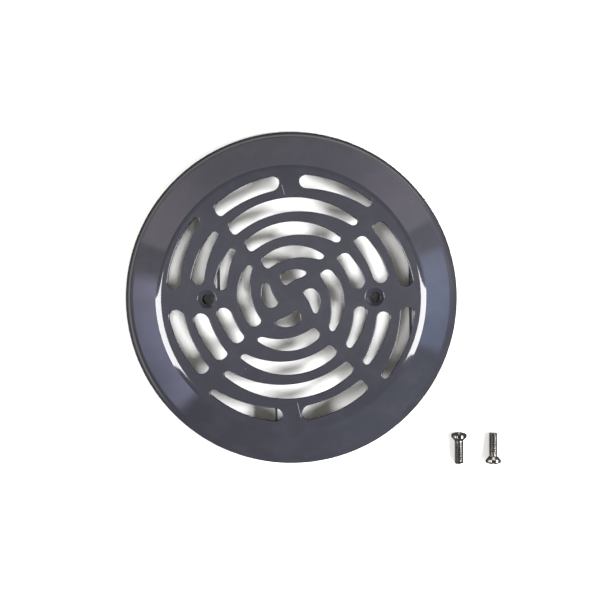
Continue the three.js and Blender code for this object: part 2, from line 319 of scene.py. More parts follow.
def slotted_plate_tree():
    """Makes a plate from slot outlines: rounded slot edges, an upper and a lower skin.

    The outlines are edges in the XY plane, with the vector attribute "outward" pointing
    from the slot into the plate. They repeat round the middle.
    """
    tree, given, result = group("Slotted plate", "GeometryNodeTree", {
        "Geometry": GEOMETRY,
        "Repeats": ("NodeSocketInt", 2),
        "Thickness": number(0.004),
        "Edge Round": number(0.0005),
        "Edge Steps": ("NodeSocketInt", 4),
        "Top Radius": number(0.08),
        "Bottom Radius": number(0.08),
        "Segments": ("NodeSocketInt", 96),
        "Material": MATERIAL,
    }, {"Geometry": "NodeSocketGeometry"})
    wire = add(tree, "GeometryNodeMeshToCurve", {"Mesh": given["Geometry"]}).outputs[0]
    outline, start = captured(tree, wire, position(tree))
    outward = add(tree, "GeometryNodeInputNamedAttribute", {"Name": "outward"},
                  data_type="FLOAT_VECTOR").outputs[0]

    # Section of a slot's wall: a quarter round, the wall and another quarter round.
    steps = given["Edge Steps"]
    last = calc(tree, "MULTIPLY_ADD", steps, 2.0, 1.0)
    line = add(tree, "GeometryNodeMeshLine", {"Count": calc(tree, "ADD", last, 1.0)}).outputs[0]
    wall = add(tree, "GeometryNodeMeshToCurve", {"Mesh": line}).outputs[0]
    index = tree.nodes.new("GeometryNodeInputIndex").outputs[0]
    from_end = calc(tree, "MINIMUM", index, calc(tree, "SUBTRACT", last, index))
    turn = calc(tree, "MULTIPLY", calc(tree, "DIVIDE", from_end, steps), pi / 2)
    edge_round = given["Edge Round"]
    reach, drop = (
        calc(tree, "MULTIPLY", edge_round, calc(tree, "SUBTRACT", 1.0, calc(tree, wave, turn)))
        for wave in ("SINE", "COSINE")
    )
    lower = calc(tree, "GREATER_THAN", index, calc(tree, "ADD", steps, 0.5))
    up = calc(tree, "SUBTRACT", drop, given["Thickness"])
    down = calc(tree, "MULTIPLY", drop, -1.0)
    height = add(tree, "ShaderNodeMix", {"Factor": lower, "A": down, "B": up}).outputs[0]
    section = moved(tree, wall, combine(tree, reach, 0.0, height))
    profile, point = captured(tree, section, position(tree))
    across, _, depth = split(tree, point)

    swept = add(tree, "GeometryNodeCurveToMesh", {"Curve": outline, "Profile Curve": profile})
    beside = vector(tree, "ADD", start, scaled(tree, outward, across))
    place = vector(tree, "ADD", beside, combine(tree, 0.0, 0.0, depth))
    walls = moved(tree, swept.outputs[0], place)
    rims = moved(tree, outline, vector(tree, "ADD", start, scaled(tree, outward, edge_round)))

    points = add(tree, "GeometryNodePoints", {"Count": given["Repeats"]}).outputs[0]
    angle = calc(tree, "MULTIPLY", index, calc(tree, "DIVIDE", 2 * pi, given["Repeats"]))
    copies = add(tree, "GeometryNodeInstanceOnPoints", {
        "Points": points, "Instance": joined(tree, walls, rims),
        "Rotation": combine(tree, 0.0, 0.0, angle),
    }).outputs[0]
    real = add(tree, "GeometryNodeRealizeInstances", {"Geometry": copies}).outputs[0]
    parts = add(tree, "GeometryNodeSeparateComponents", {"Geometry": real}).outputs

    def skin(radius):
        circle = add(tree, "GeometryNodeCurvePrimitiveCircle",
                     {"Resolution": given["Segments"], "Radius": given[radius]}).outputs[0]
        edges = joined(tree, circle, parts["Curve"])
        return add(tree, "GeometryNodeFillCurve", {"Curve": edges}, mode="TRIANGLES").outputs[0]

    top = skin("Top Radius")
    below = combine(tree, 0.0, 0.0, calc(tree, "MULTIPLY", given["Thickness"], -1.0))
    bottom = add(tree, "GeometryNodeTransform",
                 {"Geometry": skin("Bottom Radius"), "Translation": below}).outputs[0]
    turned_over = add(tree, "GeometryNodeFlipFaces", {"Mesh": bottom}).outputs[0]
    body = welded(tree, joined(tree, top, turned_over, parts["Mesh"]))
    return finish_tree(tree, body, given, result)


def made(name, mesh, tree, values, material):
    """The plain mesh that a tree makes of a starting mesh, with these named inputs."""
    start = bpy.data.objects.new(name, mesh)
    bpy.context.scene.collection.objects.link(start)
    modifier = start.modifiers.new(name, "NODES")
    modifier.node_group = tree
    for socket in tree.interface.items_tree:
        if socket.in_out == "INPUT" and socket.name in values:
            modifier[socket.identifier] = values[socket.name]
        if socket.in_out == "INPUT" and socket.name == "Material":
            modifier[socket.identifier] = material
    return taken(start)


def taken(thing):
    """The evaluated mesh of an object, which is then removed."""
    graph = bpy.context.evaluated_depsgraph_get()
    mesh = bpy.data.meshes.new_from_object(thing.evaluated_get(graph), depsgraph=graph)
    start = thing.data
    bpy.data.objects.remove(thing)
    bpy.data.meshes.remove(start)
    return mesh


# ---- meshes ----

def wire(loops, outward=None):
    """A mesh of edges only. Each loop is (points, closed)."""
    points, edges = [], []
    for loop, closed in loops:
        first = len(points)
        points += loop
        count = len(loop)
        spans = count if closed else count - 1
        edges += [(first + i, first + (i + 1) % count) for i in range(spans)]
    mesh = bpy.data.meshes.new("wire")
    mesh.from_pydata(points, edges, [])
    if outward:
        attribute = mesh.attributes.new("outward", "FLOAT_VECTOR", "POINT")
        attribute.data.foreach_set("vector", [value for normal in outward for value in normal])
    return mesh


def arc(centre, radius, start, end, steps):
    """Points on an arc in a section, as (radius, height) pairs."""
    turns = (start + (end - start) * i / steps for i in range(steps + 1))
    return [(centre[0] + radius * cos(turn), centre[1] + radius * sin(turn)) for turn in turns]


def dense(start, end, step):
    """Points along a straight stretch of a section, without its end."""
    count = max(ceil(hypot(end[0] - start[0], end[1] - start[1]) / step), 1)
    return [tuple(a + (b - a) * i / count for a, b in zip(start, end)) for i in range(count)]


def turned(section, closed=False, segments=BOSS_SEGMENTS, thread=None):
    """A section of (radius, height) pairs turned about Z, as a mesh with faces outwards."""
    mesh = wire([([(radius, 0, height) for radius, height in section], closed)])
    values = {"Segments": segments, **(thread or {})}
    return outwards(made("turned", mesh, TURNED, values, None))


def edit(mesh, change):
    """Lets a function change a mesh's bmesh."""
    shape = bmesh.new()
    shape.from_mesh(mesh)
    change(shape)
    shape.to_mesh(mesh)
    shape.free()
    return mesh


def outwards(mesh):
    return edit(mesh, lambda shape: bmesh.ops.recalc_face_normals(shape, faces=shape.faces))


def together(*meshes):
    """Meshes that meet edge to edge, as one closed mesh."""
    def weld(shape):
        for mesh in meshes[1:]:
            shape.from_mesh(mesh)
        bmesh.ops.remove_doubles(shape, verts=shape.verts, dist=SAME_POINT)
        bmesh.ops.recalc_face_normals(shape, faces=shape.faces)
    return edit(meshes[0], weld)


def block(low, high):
    """A box between two corners."""
    def shape_up(shape):
        bmesh.ops.create_cube(shape, size=1)
        size = [b - a for a, b in zip(low, high)]
        bmesh.ops.scale(shape, vec=size, verts=shape.verts)
        bmesh.ops.translate(shape, vec=[(a + b) / 2 for a, b in zip(low, high)], verts=shape.verts)
    return edit(bpy.data.meshes.new("block"), shape_up)


def shifted(mesh, matrix):
    mesh.transform(matrix)
    return mesh


def combined(mesh, other, operation):
    """Two closed meshes united, or the second cut from the first."""
    base = bpy.data.objects.new("base", mesh)
    tool = bpy.data.objects.new("tool", other)
    for thing in (base, tool):
        bpy.context.scene.collection.objects.link(thing)
    modifier = base.modifiers.new("combine", "BOOLEAN")
    modifier.solver = "MANIFOLD"
    modifier.operation = operation
    modifier.object = tool
    result = taken(base)
    bpy.data.objects.remove(tool)
    bpy.data.meshes.remove(other)
    return result


def smooth(mesh, sharp_angle):
    """Smooth shading with sharp edges past an angle. Level faces are left flat."""
    mesh.shade_smooth()
    mesh.set_sharp_from_angle(angle=sharp_angle)
    level = [abs(face.normal.z) < 0.9999 for face in mesh.polygons]
    mesh.polygons.foreach_set("use_smooth", level)
    return mesh


# ---- cover ----

def ring_radius(ring):
    return FIRST_RING + RING_PITCH * ring


def slot_edges(ring, angle):
    """The radii of a slot's inner and outer edge, at an angle from the sector's middle."""
    width, start, end = RINGS[ring]
    share = (2 * angle - start - end) / (end - start)
    inner, outer = (bow * share ** 2 + lean * share for bow, lean in (INNER_SWIRL, OUTER_SWIRL))
    return ring_radius(ring) + inner, ring_radius(ring) + width + outer


def round_end(ring, angle):
    """The radius of a full round end at an angle: half the slot's width there."""
    inner, outer = slot_edges(ring, angle)
    return (outer - inner) / 2


def corner_pull(distance, radius):
    """How far a rounded corner draws an edge in, at a distance from the slot's end."""
    return radius - sqrt(radius ** 2 - max(radius - distance, 0) ** 2)


def edge_steps(length, start_corner, end_corner):
    """Distances along one edge of a slot, closer together in the rounded corners."""
    corner = [1 - cos(i * pi / 2 / CORNER_STEPS) for i in range(CORNER_STEPS)]
    straight = length - start_corner - end_corner
    count = max(ceil(straight / SLOT_STEP), 1)
    return [
        *(start_corner * share for share in corner),
        *(start_corner + straight * i / count for i in range(count + 1)),
        *(length - end_corner * share for share in reversed(corner)),
    ]


def slot_outline(ring, start, end):
    """The outline of a slot between two angles in degrees from the sector's middle."""
    start_end, full = round_end(ring, start), round_end(ring, end)
    corners = SPOKE_CORNERS if end == RINGS[ring][2] else (full, full)

    def side(edge, inward):
        length = radians(end - start) * slot_edges(ring, (start + end) / 2)[edge]
        points = []
        for distance in edge_steps(length, start_end, corners[edge]):
            angle = start + (end - start) * distance / length
            pull = corner_pull(distance, start_end) + corner_pull(length - distance, corners[edge])
            radius = slot_edges(ring, angle)[edge] + inward * pull
            points.append(Vector((radius * cos(radians(angle)), radius * sin(radians(angle)), 0)))
        return points

    outline = side(1, -1) + side(0, 1)[::-1]
    return [point for i, point in enumerate(outline)
            if (point - outline[i - 1]).length > SAME_POINT]


def boss_bridge_angle(ring):
    """The angle either side of a screw boss at which a ring's slots end, or 0."""
    end = round_end(ring, 0)
    middle = slot_edges(ring, 0)[0] + end
    apart = SINK_RADIUS + BOSS_BRIDGE + end
    cosine = (middle ** 2 + SCREW_RADIUS ** 2 - apart ** 2) / (2 * middle * SCREW_RADIUS)
    return max(degrees(acos(min(cosine, 1)) - end / middle), 0)


def slot_spans(ring, sector):
    """The angles between which each slot of a ring runs, in one sector."""
    _, start, end = RINGS[ring]
    gap = 0
    if ring == len(RINGS) - 1:
        gap = degrees(OUTER_BRIDGE / 2 / slot_edges(ring, 0)[0])
    elif sector % 2 == 0:
        gap = boss_bridge_angle(ring)
    return [(start, -gap), (gap, end)] if gap else [(start, end)]


def outward_normals(outline):
    """At each point of an anticlockwise outline, the level direction away from its inside."""
    normals = []
    for i, point in enumerate(outline):
        before = (point - outline[i - 1]).normalized()
        after = (outline[(i + 1) % len(outline)] - point).normalized()
        along = (before + after).normalized()
        normals.append(Vector((along.y, -along.x, 0)))
    return normals


def slot_wires(sectors):
    """The outlines of every slot in some sectors, with their outward directions."""
    loops, outward = [], []
    for sector in range(sectors):
        turn = Matrix.Rotation(2 * pi * sector / SECTORS, 3, "Z")
        for ring in range(len(RINGS)):
            for start, end in slot_spans(ring, sector):
                outline = [turn @ point for point in slot_outline(ring, start, end)][::-1]
                if signed_area(outline) < 0:
                    outline.reverse()
                loops.append((outline, True))
                outward += outward_normals(outline)
    return wire(loops, outward)


def signed_area(outline):
    return sum(a.x * b.y - b.x * a.y for a, b in zip(outline, outline[1:] + outline[:1])) / 2


def flange_section():
    """The shoulder, flange and rim from the plate's top edge round to its underside."""
    shoulder = Vector((PLATE_RADIUS, -SHOULDER_RADIUS))
    rim = Vector((RIM_OUTER - RIM_RADIUS, RIM_LIP - COVER_HEIGHT))
    roll = rim - (RIM_ROLL - RIM_RADIUS) * Vector((sin(RIM_TURN), cos(RIM_TURN)))
    between = roll - shoulder
    slope = asin((SHOULDER_RADIUS - RIM_ROLL) / between.length) - atan2(between.y, between.x)
    facing = pi / 2 - slope
    inner_roll = arc(roll, RIM_ROLL - FLANGE_WALL, pi / 2 - RIM_TURN, facing, 8)
    inner_rim = arc(rim, RIM_RADIUS - FLANGE_WALL, 0, pi / 2 - RIM_TURN, 4)
    inner_corner = inner_roll[-1][0] - (-PLATE_THICKNESS - inner_roll[-1][1]) / tan(slope)
    foot = RIM_FOOT_ROUND
    return [
        *arc(shoulder, SHOULDER_RADIUS, pi / 2, facing, 14),
        *arc(roll, RIM_ROLL, facing, pi / 2 - RIM_TURN, 12),
        *arc(rim, RIM_RADIUS, pi / 2 - RIM_TURN, 0, 10)[1:],
        *arc((RIM_OUTER - foot, foot - COVER_HEIGHT), foot, 0, -pi / 2, 4),
        *arc((RIM_OUTER - FLANGE_WALL + foot, foot - COVER_HEIGHT), foot, -pi / 2, -pi, 4),
        *inner_rim, *inner_roll[1:],
        (inner_corner, -PLATE_THICKNESS),
    ]


def plate_and_flange(material):
    """The slotted plate, joined to the flange along both its edges."""
    section = flange_section()
    values = {
        "Repeats": SECTORS // 2, "Thickness": PLATE_THICKNESS, "Edge Round": SLOT_EDGE_ROUND,
        "Edge Steps": 5, "Top Radius": section[0][0], "Bottom Radius": section[-1][0],
        "Segments": COVER_SEGMENTS,
    }
    plate = made("plate", slot_wires(2), SLOTTED_PLATE, values, material)
    flange = turned(section, segments=COVER_SEGMENTS)
    return together(plate, flange)


def skirt():
    """The skirt that locates the cover in its frame, reaching up into the plate."""
    outside = SKIRT_INSIDE + SKIRT_WALL
    low, high = SKIRT_GAP - COVER_HEIGHT, OVERLAP - PLATE_THICKNESS
    section = [(SKIRT_INSIDE, low), (outside, low), (outside, high), (SKIRT_INSIDE, high)]
    return turned(section, closed=True, segments=COVER_SEGMENTS)


def ribs():
    """The three straight ribs, each along Y, ending inside what they meet."""
    meet = SKIRT_INSIDE + SKIRT_WALL / 2
    side = SKIRT_INSIDE - SIDE_RIB_INSET
    side_reach = sqrt(meet ** 2 - side ** 2)
    edge_end = -sqrt(meet ** 2 - EDGE_RIB_OFFSET ** 2)
    spans = [
        (side, -side_reach, side_reach),
        (BOSS_RADIUS - RIB_WALL / 2 - SCREW_RADIUS, -OVERLAP, BOSS_RIB_REACH),
        (-EDGE_RIB_OFFSET, edge_end, EDGE_RIB_REACH - SKIRT_INSIDE),
    ]
    low, high = -PLATE_THICKNESS - RIB_DROP, OVERLAP - PLATE_THICKNESS
    half = RIB_WALL / 2
    return [block((x - half, start, low), (x + half, end, high)) for x, start, end in spans]


def boss():
    high = OVERLAP - PLATE_THICKNESS
    edge = 0.4 * MM
    return turned([
        (0, -BOSS_HEIGHT), *arc((BOSS_RADIUS - edge, edge - BOSS_HEIGHT), edge, -pi / 2, 0, 4),
        (BOSS_RADIUS, high), (0, high),
    ])


def screw_hole():
    """What is cut away for a screw: a hole, a countersink and the rounding of its lip."""
    slope = HEAD_ANGLE / 2
    lip = SLOT_EDGE_ROUND
    tangent = lip * tan((pi / 2 - slope) / 2)
    lip_centre = (SINK_RADIUS + tangent, -lip)
    sink_depth = (SINK_RADIUS - HOLE_RADIUS) / tan(slope)
    return turned([
        (0, -BOSS_HEIGHT - OVERLAP), (HOLE_RADIUS, -BOSS_HEIGHT - OVERLAP),
        (HOLE_RADIUS, -sink_depth),
        *arc(lip_centre, lip, pi - slope, pi / 2, 6),
        (lip_centre[0], OVERLAP), (0, OVERLAP),
    ])


def make_cover(material):
    mesh = plate_and_flange(material)
    for feature in [skirt(), *ribs()]:
        mesh = combined(mesh, feature, "UNION")
    for x in (-SCREW_RADIUS, SCREW_RADIUS):
        beside = Matrix.Translation((x, 0, 0))
        mesh = combined(mesh, shifted(boss(), beside), "UNION")
        mesh = combined(mesh, shifted(screw_hole(), beside), "DIFFERENCE")
    return piece("cover", smooth(mesh, radians(35)), material)


# ---- screws, on their own axis: the head's rim at z = 0, the tip below ----

def screw_section():
    """Half of the screw's outline: tip, shank, cone, land and oval top."""
    shank, head = THREAD_DIAMETER / 2, HEAD_DIAMETER / 2
    cone = (shank, -HEAD_LAND - (head - shank) / tan(HEAD_ANGLE / 2))
    dome_radius = (head ** 2 + HEAD_DOME ** 2) / (2 * HEAD_DOME)
    dome_start = acos(head / dome_radius)
    tip = (shank - TIP_CHAMFER, -SCREW_LENGTH)
    shoulder = (shank, TIP_CHAMFER - SCREW_LENGTH)
    fine = THREAD_PITCH / 16
    return [
        *dense((0, -SCREW_LENGTH), tip, 4 * fine), *dense(tip, shoulder, fine),
        *dense(shoulder, cone, fine), *dense(cone, (head, -HEAD_LAND), 6 * fine),
        *dense((head, -HEAD_LAND), (head, 0), 3 * fine),
        *arc((0, HEAD_DOME - dome_radius), dome_radius, dome_start, pi / 2, 24),
    ], cone[1]


def recess_wing():
    """One tapered slot of the cross recess."""
    top = HEAD_DOME + OVERLAP
    flare = (RECESS_SPAN - RECESS_FLOOR) / 2 / RECESS_DEPTH
    top_half = RECESS_SPAN / 2 + flare * top
    corners = [(-RECESS_FLOOR / 2, -RECESS_DEPTH), (RECESS_FLOOR / 2, -RECESS_DEPTH),
               (top_half, top), (-top_half, top)]

    def shape_up(shape):
        for y in (-RECESS_WIDTH / 2, RECESS_WIDTH / 2):
            for x, z in corners:
                shape.verts.new((x, y, z))
        bmesh.ops.convex_hull(shape, input=shape.verts)
    return outwards(edit(bpy.data.meshes.new("wing"), shape_up))


def screw_mesh():
    section, cone_z = screw_section()
    thread = {"Thread Radius": THREAD_DIAMETER / 2, "Thread Pitch": THREAD_PITCH,
              "Thread Depth": THREAD_DEPTH, "Thread Top": cone_z}
    mesh = turned(section, segments=SCREW_SEGMENTS, thread=thread)
    for turn in (0, pi / 2):
        mesh = combined(mesh, shifted(recess_wing(), Matrix.Rotation(turn, 4, "Z")), "DIFFERENCE")
    own_axis = mesh.attributes.new("own_axis", "FLOAT_VECTOR", "POINT")
    own_axis.data.foreach_set("vector", [value for vertex in mesh.vertices for value in vertex.co])
    return mesh


def lie_down(mesh, node, turn):
    """Lays a screw on its head's rim and the end of its thread, where the frame has it."""
    tilt = atan2((HEAD_DIAMETER - THREAD_DIAMETER) / 2, SCREW_LENGTH - TIP_CHAMFER - HEAD_LAND)
    mesh.transform(Matrix.Rotation(turn, 4, "Z") @ Matrix.Rotation(tilt - pi / 2, 4, "X"))
    spots = [vertex.co for vertex in mesh.vertices]
    low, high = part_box(node)
    for axis in range(3):
        middle = (min(spot[axis] for spot in spots) + max(spot[axis] for spot in spots)) / 2
        move = Vector((0, 0, 0))
        move[axis] = (low[axis] + high[axis]) / 2 - middle
        mesh.transform(Matrix.Translation(move))
    return mesh


def make_screw(node, body, turn, material):
    mesh = lie_down(screw_mesh(), node, turn)
    mesh.shade_smooth()
    mesh.set_sharp_from_angle(angle=radians(40))
    screw = piece(f"fixing_{node}", mesh, material)
    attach(screw, body)
    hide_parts(node)
    return screw


def piece(name, mesh, material):
    """A shown object of a mesh, with one material."""
    mesh.name = name
    mesh.materials.clear()
    mesh.materials.append(material)
    shown = bpy.data.objects.new(name, mesh)
    bpy.context.scene.collection.objects.link(shown)
    return shown


# ---- materials ----

def srgb(red, green, blue):
    """A colour given as 0 to 255 on a screen, as the linear colour that a material takes."""
    parts = (value / 255 for value in (red, green, blue))
    return (*(c / 12.92 if c <= 0.04045 else ((c + 0.055) / 1.055) ** 2.4 for c in parts), 1)


def new_material(name):
    material = bpy.data.materials.new(name)
    material.use_nodes = True
    tree = material.node_tree
    return material, tree, tree.nodes["Principled BSDF"]


def noise(tree, place, scale, detail=2.0, roughness=0.5):
    inputs = {"Vector": place, "Scale": scale, "Detail": detail, "Roughness": roughness}
    return add(tree, "ShaderNodeTexNoise", inputs).outputs[0]


def rotated(tree, direction, angle):
    """A vector turned about Z."""
    inputs = {"Vector": direction, "Angle": angle}
    return add(tree, "ShaderNodeVectorRotate", inputs, rotation_type="Z_AXIS").outputs[0]


def blend(tree, factor, first, second):
    """Two colours mixed."""
    return add(tree, "ShaderNodeMix", {"Factor": factor, 6: first, 7: second},
               data_type="RGBA").outputs[2]


def moulded_skin_group():
    """Moulded plastic's skin: a height in metres, and patches where its gloss is lower."""
    tree, given, result = group("Moulded skin", "ShaderNodeTree", {
        "Vector": VECTOR, "Wave Length": number(0.02), "Wave Height": number(8e-6),
        "Grain Length": number(0.0012), "Grain Height": number(4e-7),
    }, {"Height": "NodeSocketFloat", "Mottle": "NodeSocketFloat"})
    place = given["Vector"]
    waves = noise(tree, place, calc(tree, "DIVIDE", 1.0, given["Wave Length"]), 1.0)
    grain = noise(tree, place, calc(tree, "DIVIDE", 1.0, given["Grain Length"]), 3.0)
    height = calc(tree, "MULTIPLY", waves, given["Wave Height"])
    height = calc(tree, "ADD", height, calc(tree, "MULTIPLY", grain, given["Grain Height"]))
    mottle = smooth_step(tree, noise(tree, place, 75.0, 5.0, 0.62), 0.38, 0.72)
    tree.links.new(height, result.inputs["Height"])
    tree.links.new(mottle, result.inputs["Mottle"])
    return tree


def hairlines_group():
    """Short straight scratches in scattered directions, as a mask."""
    tree, given, result = group("Hairline scratches", "ShaderNodeTree", {
        "Vector": VECTOR, "Length": number(0.012), "Thinness": number(70.0),
        "Amount": number(0.3),
    }, {"Mask": "NodeSocketFloat"})
    marks = []
    for turn in (0.5, 1.9, 2.75):
        turned_place = rotated(tree, given["Vector"], turn)
        x, y, z = split(tree, turned_place)
        thin = combine(tree, x, calc(tree, "MULTIPLY", y, given["Thinness"]), z)
        scale = calc(tree, "DIVIDE", 1.0, given["Length"])
        line = smooth_step(tree, noise(tree, thin, scale, 0.0), 0.745, 0.8)
        where = smooth_step(tree, noise(tree, turned_place, 55.0, 1.0), 0.5, 0.62)
        marks.append(calc(tree, "MULTIPLY", line, where))
    mask = calc(tree, "MAXIMUM", calc(tree, "MAXIMUM", marks[0], marks[1]), marks[2])
    tree.links.new(calc(tree, "MULTIPLY", mask, given["Amount"]), result.inputs["Mask"])
    return tree


def specks_group():
    """Scattered grains of dust of uneven size, as a mask."""
    tree, given, result = group("Dust specks", "ShaderNodeTree", {
        "Vector": VECTOR, "Spacing": number(0.006), "Size": number(0.035), "Amount": number(0.5),
    }, {"Mask": "NodeSocketFloat"})
    scale = calc(tree, "DIVIDE", 1.0, given["Spacing"])
    cells = add(tree, "ShaderNodeTexVoronoi", {"Vector": given["Vector"], "Scale": scale})
    chance, size, _ = split(tree, cells.outputs["Color"])
    reach = calc(tree, "MULTIPLY", given["Size"], calc(tree, "POWER", size, 2.0))
    near = calc(tree, "LESS_THAN", cells.outputs["Distance"], reach)
    kept = calc(tree, "LESS_THAN", chance, given["Amount"])
    tree.links.new(calc(tree, "MULTIPLY", near, kept), result.inputs["Mask"])
    return tree


def seam_group():
    """A thin line across the plate where two streams of plastic met, as a mask."""
    tree, given, result = group("Knit line", "ShaderNodeTree", {
        "Vector": VECTOR, "Bearing": number(0.0), "Radius": number(0.065),
        "Length": number(0.006), "Lean": number(0.2), "Width": number(0.0002),
    }, {"Mask": "NodeSocketFloat"})
    back = calc(tree, "MULTIPLY", given["Bearing"], -1.0)
    place = rotated(tree, given["Vector"], back)
    along, across, _ = split(tree, place)
    along = calc(tree, "SUBTRACT", along, given["Radius"])
    across = calc(tree, "SUBTRACT", across, calc(tree, "MULTIPLY", along, given["Lean"]))
    beside = calc(tree, "DIVIDE", calc(tree, "ABSOLUTE", across), given["Width"])
    beyond = calc(tree, "DIVIDE", calc(tree, "ABSOLUTE", along), given["Length"])
    mask = calc(tree, "MULTIPLY", smooth_step(tree, beside, 0.4, 1.0, 1.0, 0.0),
                smooth_step(tree, beyond, 0.42, 0.55, 1.0, 0.0))
    tree.links.new(mask, result.inputs["Mask"])
    return tree


def lip_wear_and_sheen_group():
    """Rubbed patches along rounded lips a little below a level face, as a mask: partly wear, partly
    a painted highlight on the slot lips.
    """
    tree, given, result = group("Lip wear and sheen", "ShaderNodeTree", {
        "Vector": VECTOR, "Lip Depth": number(0.0006), "Outer Radius": number(0.075),
        "Amount": number(0.5),
    }, {"Mask": "NodeSocketFloat"})
    x, y, height = split(tree, given["Vector"])
    level = combine(tree, x, y, 0.0)
    radius = add(tree, "ShaderNodeVectorMath", {0: level}, operation="LENGTH").outputs["Value"]
    inside = calc(tree, "LESS_THAN", radius, given["Outer Radius"])
    below = calc(tree, "DIVIDE", calc(tree, "MULTIPLY", height, -1.0), given["Lip Depth"])
    lip = calc(tree, "MULTIPLY", smooth_step(tree, below, 0.02, 0.15),
               smooth_step(tree, below, 0.5, 1.0, 1.0, 0.0))
    rubbed_and_sheen = smooth_step(tree, noise(tree, given["Vector"], 210.0, 3.0), 0.48, 0.66)
    mask = calc(tree, "MULTIPLY", calc(tree, "MULTIPLY", lip, rubbed_and_sheen), inside)
    mask = calc(tree, "MULTIPLY", mask, given["Amount"])
    tree.links.new(mask, result.inputs["Mask"])
    return tree


def turned_metal_group():
    """Metal turned on a lathe, about Z: fine rings as a height, and a mask of stain spots with
    painted shade in the thread's grooves.
    """
    tree, given, result = group("Turned metal", "ShaderNodeTree", {
        "Vector": VECTOR, "Root Radius": number(0.0018), "Crest Radius": number(0.0024),
        "Top": number(-0.004), "Ring Height": number(1.5e-6),
    }, {"Height": "NodeSocketFloat", "Stain And Shade": "NodeSocketFloat"})
    x, y, z = split(tree, given["Vector"])
    radius = calc(tree, "SQRT", calc(tree, "ADD", calc(tree, "POWER", x, 2.0),
                                     calc(tree, "POWER", y, 2.0)))
    rings = noise(tree, combine(tree, radius, 0.0, z), 9000.0, 2.0)
    tree.links.new(calc(tree, "MULTIPLY", rings, given["Ring Height"]), result.inputs["Height"])
    # Painted shade in the thread's grooves, fading out towards the crest.
    root_shade = smooth_step(tree, radius, given["Root Radius"], given["Crest Radius"], 1.0, 0.0)
    on_thread = calc(tree, "LESS_THAN", z, given["Top"])
    spots = smooth_step(tree, noise(tree, given["Vector"], 900.0, 3.0), 0.5, 0.75, 0.0, 0.35)
    stain_and_shade = calc(tree, "MAXIMUM", calc(tree, "MULTIPLY", root_shade, on_thread), spots)
    tree.links.new(stain_and_shade, result.inputs["Stain And Shade"])
    return tree


def use(tree, node_group, **inputs):
    """The outputs of a shader node group with some of its inputs set."""
    node = tree.nodes.new("ShaderNodeGroup")
    node.node_tree = node_group
    for label, value in inputs.items():
        socket = node.inputs[label.replace("_", " ")]
        if isinstance(value, bpy.types.NodeSocket):
            tree.links.new(value, socket)
        else:
            socket.default_value = value
    return node.outputs


def bumped(tree, shader, height):
    """Gives a shader a height in metres."""
    inputs = {"Height": height, "Strength": 1.0, "Distance": 1.0}
    tree.links.new(add(tree, "ShaderNodeBump", inputs).outputs[0], shader.inputs["Normal"])


def cover_plastic():
    """Glossy blue-black moulded plastic, a little handled, its slot lips lighter: partly wear,
    partly painted highlight.
    """
    material, tree, shader = new_material("cover_plastic")
    place = tree.nodes.new("ShaderNodeTexCoord").outputs["Object"]
    skin = use(tree, moulded_skin_group(), Vector=place)
    scratches = use(tree, hairlines_group(), Vector=place)["Mask"]
    dust = use(tree, specks_group(), Vector=place)["Mask"]
    wear_and_sheen = use(tree, lip_wear_and_sheen_group(), Vector=place, Lip_Depth=SLOT_EDGE_ROUND,
               Outer_Radius=SLOT_FIELD)["Mask"]
    knit_line = seam_group()
    knits = [use(tree, knit_line, Vector=place, Bearing=radians(bearing), Radius=radius,
                 Length=length, Lean=lean)["Mask"]
             for bearing, radius, length, lean in KNIT_LINES]
    knit = calc(tree, "MAXIMUM", *knits)

    plain = blend(tree, skin["Mottle"], srgb(*PLASTIC_DARK), srgb(*PLASTIC_LIGHT))
    # Lips lightened: partly wear, partly a painted highlight along the slot edges.
    rubbed_and_sheen = blend(tree, calc(tree, "MULTIPLY", wear_and_sheen, 0.35), plain, srgb(96, 96, 104))
    lined = blend(tree, calc(tree, "MULTIPLY", knit, 0.4), rubbed_and_sheen, srgb(150, 148, 152))
    dusty = blend(tree, calc(tree, "MULTIPLY", dust, 0.45), lined, srgb(170, 166, 158))
    tree.links.new(dusty, shader.inputs["Base Color"])

    rough = calc(tree, "MULTIPLY_ADD", skin["Mottle"], 0.02, 0.045)
    for mask, more in ((scratches, 0.22), (wear_and_sheen, 0.12), (knit, 0.3), (dust, 0.5)):
        rough = calc(tree, "MULTIPLY_ADD", mask, more, rough)
    tree.links.new(rough, shader.inputs["Roughness"])
    height = skin["Height"]
    for mask, rise in ((scratches, -4e-6), (knit, -6e-6)):
        height = calc(tree, "MULTIPLY_ADD", mask, rise, height)
    bumped(tree, shader, height)
    return material


def stainless_steel():
    """Bright turned steel with scattered stain spots, and painted shade darkening the thread's
    grooves.
    """
    material, tree, shader = new_material("stainless_steel")
    own = add(tree, "ShaderNodeAttribute", attribute_name="own_axis").outputs["Vector"]
    turned_metal = use(tree, turned_metal_group(), Vector=own,
                       Root_Radius=(THREAD_DIAMETER - THREAD_DEPTH) / 2,
                       Crest_Radius=THREAD_DIAMETER / 2, Top=-HEAD_LAND * 4)
    scratches = use(tree, hairlines_group(), Vector=own, Length=0.003, Thinness=40.0)["Mask"]
    # Dark where the mask is: painted shade in the thread's grooves, and stain spots.
    colour = blend(tree, turned_metal["Stain And Shade"], (*STEEL_BRIGHT, 1), (*STEEL_STAIN_AND_SHADE, 1))
    tree.links.new(colour, shader.inputs["Base Color"])
    shader.inputs["Metallic"].default_value = 1
    rough = calc(tree, "MULTIPLY_ADD", turned_metal["Stain And Shade"], 0.14, 0.1)
    rough = calc(tree, "MULTIPLY_ADD", scratches, 0.3, rough)
    tree.links.new(rough, shader.inputs["Roughness"])
    bumped(tree, shader, turned_metal["Height"])
    return material


# ---- studio ----

FLOOR_HALF = 1.3
ROOM_LIGHT = (0.035, 0.034, 0.033)
AMBIENT_LIGHT = (0.4, 0.38, 0.33)

